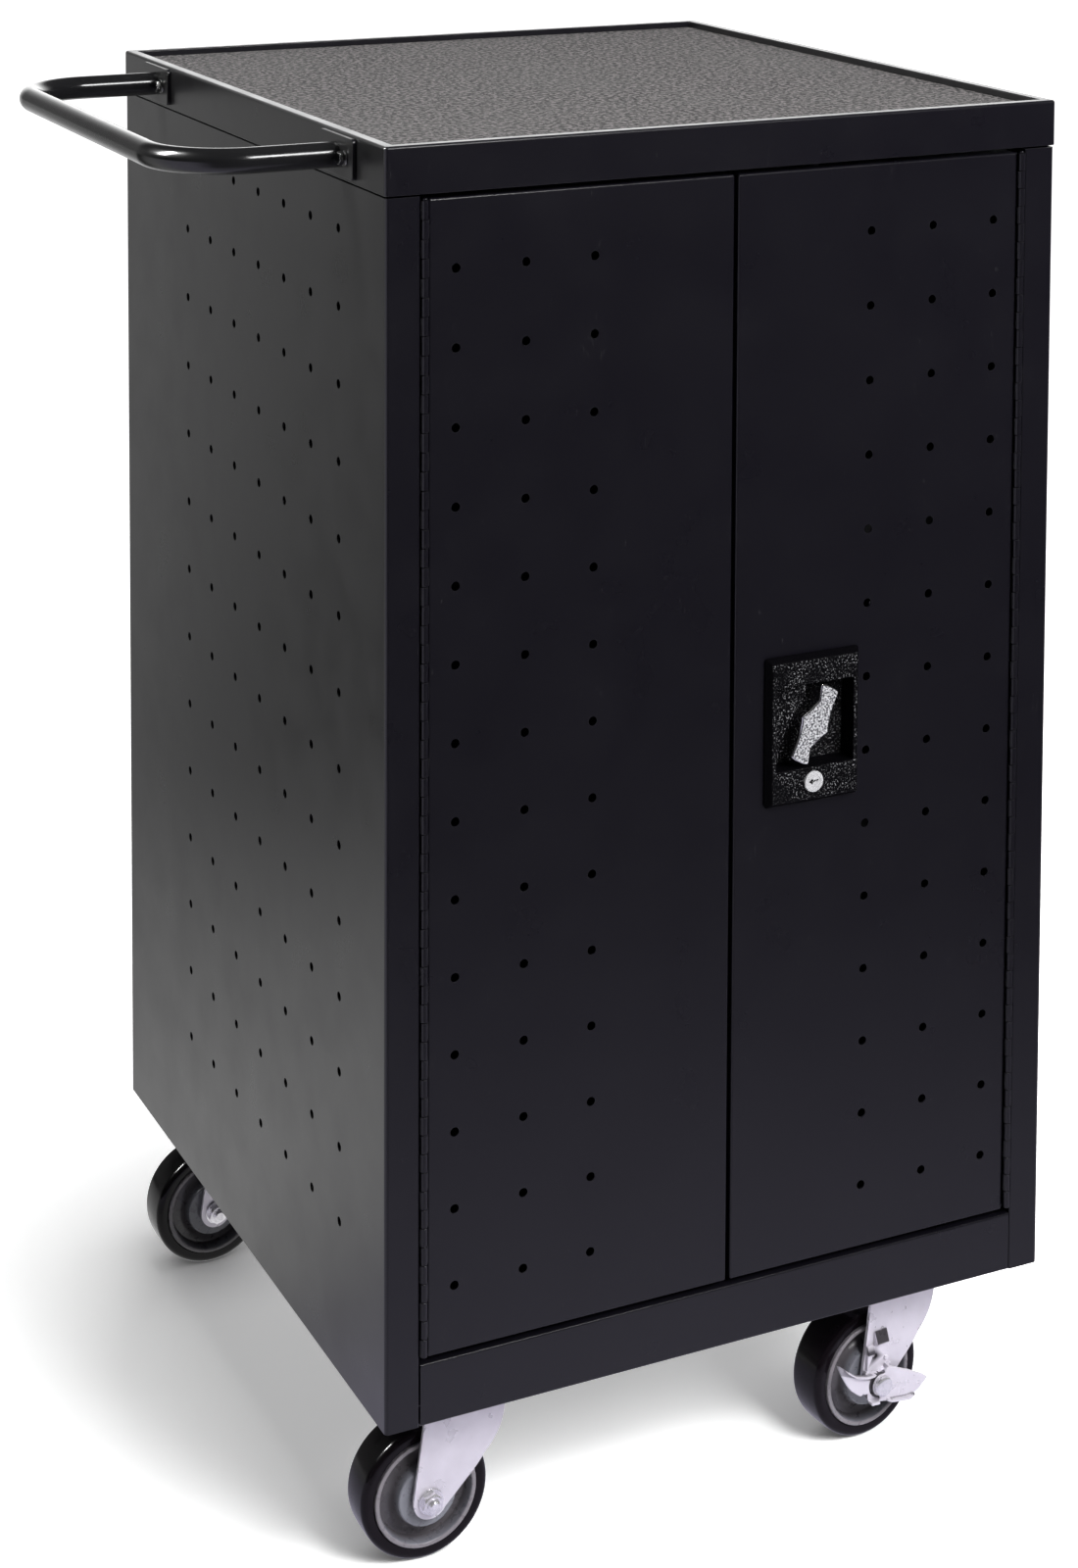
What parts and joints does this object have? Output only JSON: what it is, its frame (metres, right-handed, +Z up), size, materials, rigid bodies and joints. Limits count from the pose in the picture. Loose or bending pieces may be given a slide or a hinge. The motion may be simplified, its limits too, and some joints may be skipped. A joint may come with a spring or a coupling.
{
  "type": "tool cart",
  "caption": "Black ventilated steel tool cart with hinged locking doors, a mat-lined tray top, a side push handle and braked swivel casters.",
  "frame": {"origin": "on the floor, at the centre of the cart's bounding box with the handle included", "axes": "+X runs right along the front, away from the handle; +Y to the back; +Z up"},
  "size_m": [0.6983, 0.5884, 1.0654],
  "materials": {
    "powder_coat": "satin powder coat",
    "gloss_black": "gloss",
    "lock_black": "matt cast, fine texture",
    "mat": "speckled matt",
    "chrome": "polished",
    "zinc": "bright zinc plate",
    "tyre": "smooth",
    "hub": "moulded"
  },
  "bodies": {
    "cabinet": {"left_side_panel": "powder_coat", "right_side_panel": "powder_coat", "back_panel": "powder_coat", "bottom_rail": "powder_coat", "bottom_pan": "powder_coat", "top_frame": "powder_coat", "top_tray": "powder_coat", "tray_mat": "mat", "lower_shelf": "powder_coat", "upper_shelf": "powder_coat", "left_hinge_frame_leaf": "powder_coat", "left_hinge_pin": "powder_coat", "right_hinge_frame_leaf": "powder_coat", "right_hinge_pin": "powder_coat", "push_handle": "gloss_black", "handle_plate_front": "powder_coat", "handle_bolt_front_a": "gloss_black", "handle_bolt_front_b": "gloss_black", "handle_plate_rear": "powder_coat", "handle_bolt_rear_a": "gloss_black", "handle_bolt_rear_b": "gloss_black", "caster_front_left_plate": "zinc", "caster_front_right_plate": "zinc", "caster_back_left_plate": "zinc", "caster_back_right_plate": "zinc"},
    "left_door_body": {"left_door": "powder_coat", "left_hinge_door_leaf": "powder_coat"},
    "right_door_body": {"right_door": "powder_coat", "right_hinge_door_leaf": "powder_coat", "lock_plate": "lock_black", "upper_rod_guide": "zinc", "lower_rod_guide": "zinc"},
    "lever": {"lock_lever": "chrome", "lock_cam": "zinc"},
    "key_cylinder": {"lock_cylinder": "chrome"},
    "upper_rod": {"upper_latch_rod": "zinc"},
    "lower_rod": {"lower_latch_rod": "zinc"},
    "front_left_fork": {"caster_front_left_fork": "zinc", "caster_front_left_axle": "zinc"},
    "front_left_wheel": {"caster_front_left_tyre": "tyre", "caster_front_left_hub": "hub"},
    "front_right_fork": {"caster_front_right_fork": "zinc", "caster_front_right_axle": "zinc", "caster_front_right_brake_plate": "zinc"},
    "front_right_wheel": {"caster_front_right_tyre": "tyre", "caster_front_right_hub": "hub"},
    "front_right_pedal": {"caster_front_right_brake_pedal": "zinc"},
    "back_left_fork": {"caster_back_left_fork": "zinc", "caster_back_left_axle": "zinc"},
    "back_left_wheel": {"caster_back_left_tyre": "tyre", "caster_back_left_hub": "hub"},
    "back_right_fork": {"caster_back_right_fork": "zinc", "caster_back_right_axle": "zinc", "caster_back_right_brake_plate": "zinc"},
    "back_right_wheel": {"caster_back_right_tyre": "tyre", "caster_back_right_hub": "hub"},
    "back_right_pedal": {"caster_back_right_brake_pedal": "zinc"}
  },
  "joints": [
    {"name": "left_door_hinge", "type": "hinge", "parent": "cabinet", "child": "left_door_body", "pos_m": [-0.18364, -0.2864, 0.6], "axis": [0, 0, -1], "range_deg": [0, 175]},
    {"name": "right_door_hinge", "type": "hinge", "parent": "cabinet", "child": "right_door_body", "pos_m": [0.31836, -0.2864, 0.6], "axis": [0, 0, 1], "range_deg": [0, 175]},
    {"name": "lever_turn", "type": "hinge", "parent": "right_door_body", "child": "lever", "pos_m": [0.13496, -0.2866, 0.605], "axis": [0, -1, 0], "range_deg": [-0.5, 90.5]},
    {"name": "key_turn", "type": "hinge", "parent": "right_door_body", "child": "key_cylinder", "pos_m": [0.13356, -0.2866, 0.5617], "axis": [0, 1, 0], "range_deg": [0, 90]},
    {"name": "upper_rod_slide", "type": "slide", "parent": "right_door_body", "child": "upper_rod", "axis": [0, 0, 1], "range_m": [0, 0.01414]},
    {"name": "lower_rod_slide", "type": "slide", "parent": "right_door_body", "child": "lower_rod", "axis": [0, 0, -1], "range_m": [-0.0001, 0.0143]},
    {"name": "front_left_swivel", "type": "hinge", "parent": "cabinet", "child": "front_left_fork", "pos_m": [-0.12254, -0.2243, 0.12], "axis": [0, 0, 1], "continuous": true},
    {"name": "front_left_spin", "type": "hinge", "parent": "front_left_fork", "child": "front_left_wheel", "pos_m": [-0.16153, -0.22376, 0.0508], "axis": [0.014, 0.9999, 0], "continuous": true},
    {"name": "front_right_swivel", "type": "hinge", "parent": "cabinet", "child": "front_right_fork", "pos_m": [0.25516, -0.223, 0.12], "axis": [0, 0, 1], "continuous": true},
    {"name": "front_right_spin", "type": "hinge", "parent": "front_right_fork", "child": "front_right_wheel", "pos_m": [0.21644, -0.22762, 0.0508], "axis": [-0.1184, 0.993, 0], "continuous": true},
    {"name": "front_right_brake", "type": "hinge", "parent": "front_right_fork", "child": "front_right_pedal", "pos_m": [0.21644, -0.22762, 0.0508], "axis": [-0.1184, 0.993, 0], "range_deg": [-16, 0]},
    {"name": "back_left_swivel", "type": "hinge", "parent": "cabinet", "child": "back_left_fork", "pos_m": [-0.12684, 0.2345, 0.12], "axis": [0, 0, 1], "continuous": true},
    {"name": "back_left_spin", "type": "hinge", "parent": "back_left_fork", "child": "back_left_wheel", "pos_m": [-0.16583, 0.23368, 0.0508], "axis": [-0.0209, 0.9998, 0], "continuous": true},
    {"name": "back_right_swivel", "type": "hinge", "parent": "cabinet", "child": "back_right_fork", "pos_m": [0.25736, 0.2324, 0.12], "axis": [0, 0, 1], "continuous": true},
    {"name": "back_right_spin", "type": "hinge", "parent": "back_right_fork", "child": "back_right_wheel", "pos_m": [0.21836, 0.2324, 0.0508], "axis": [0, 1, 0], "continuous": true},
    {"name": "back_right_brake", "type": "hinge", "parent": "back_right_fork", "child": "back_right_pedal", "pos_m": [0.21836, 0.2324, 0.0508], "axis": [0, 1, 0], "range_deg": [-16, 0]}
  ],
  "couplings": [
    {"joint": "lever_turn", "follows": "upper_rod_slide", "rad_per_m": 111.07},
    {"joint": "lower_rod_slide", "follows": "upper_rod_slide", "ratio": 1}
  ]
}
